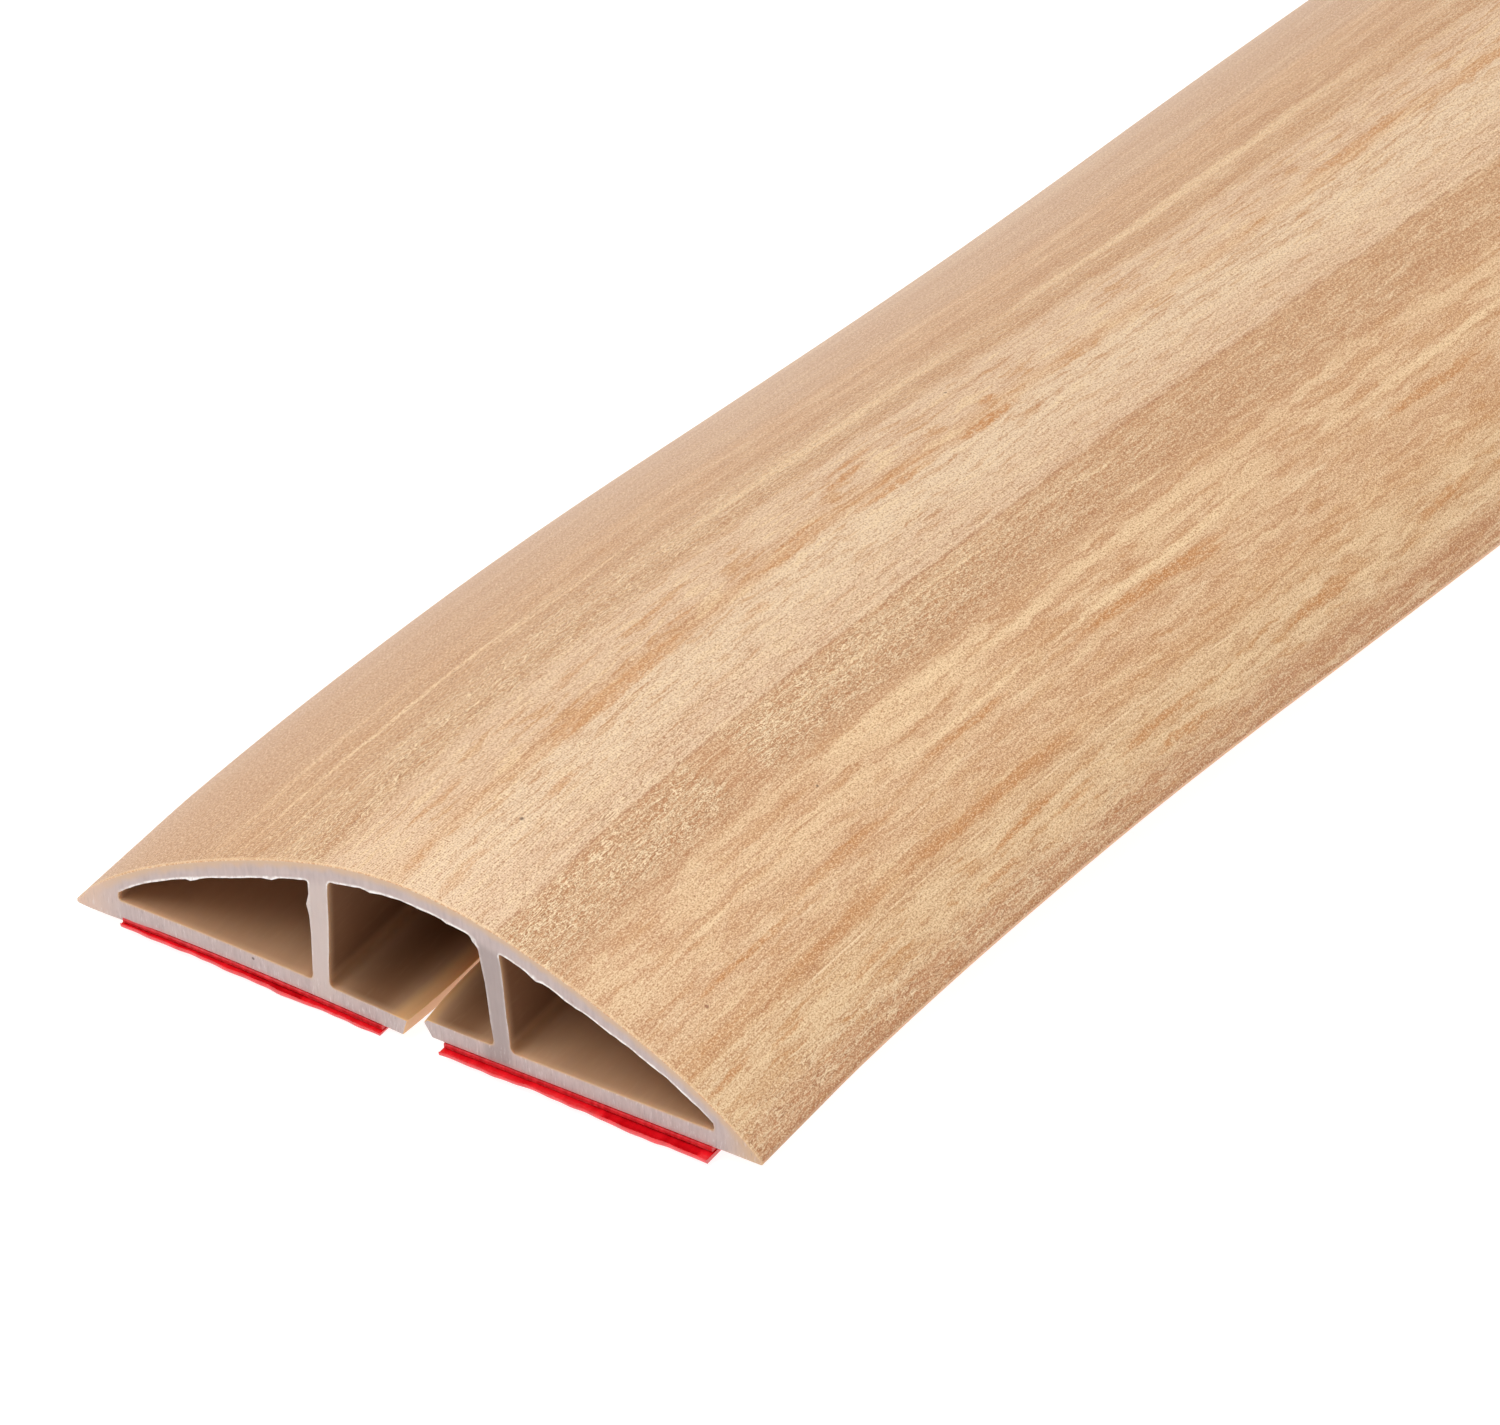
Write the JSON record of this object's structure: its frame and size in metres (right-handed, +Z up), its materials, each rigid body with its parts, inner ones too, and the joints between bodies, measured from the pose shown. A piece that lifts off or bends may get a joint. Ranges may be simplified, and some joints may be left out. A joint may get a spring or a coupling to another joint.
{
  "type": "floor cord cover",
  "caption": "Low domed soft-plastic floor strip with wood-look top, lengthwise cable channels, a slit base and red-backed tape underneath.",
  "frame": {"origin": "centre of the bounding box in plan, on the floor it lies on", "axes": "+Y along the strip, +X across its width, +Z up; the strip lies flat on the floor but for a low hump near each end, where it rises about 4 mm and droops back to the floor"},
  "size_m": [0.07, 1.204, 0.0203],
  "materials": {
    "cover_body": "satin, finely embossed printed wood film on the outer arch; plain pale beige soft PVC elsewhere",
    "adhesive_tape": "clear soft acrylic tape, tinted by the red film under it",
    "release_liner": "glossy smooth film"
  },
  "bodies": {
    "root": {"cover_body": "cover_body", "left_adhesive_tape": "adhesive_tape", "right_adhesive_tape": "adhesive_tape", "left_release_liner": "release_liner", "right_release_liner": "release_liner"}
  },
  "joints": []
}
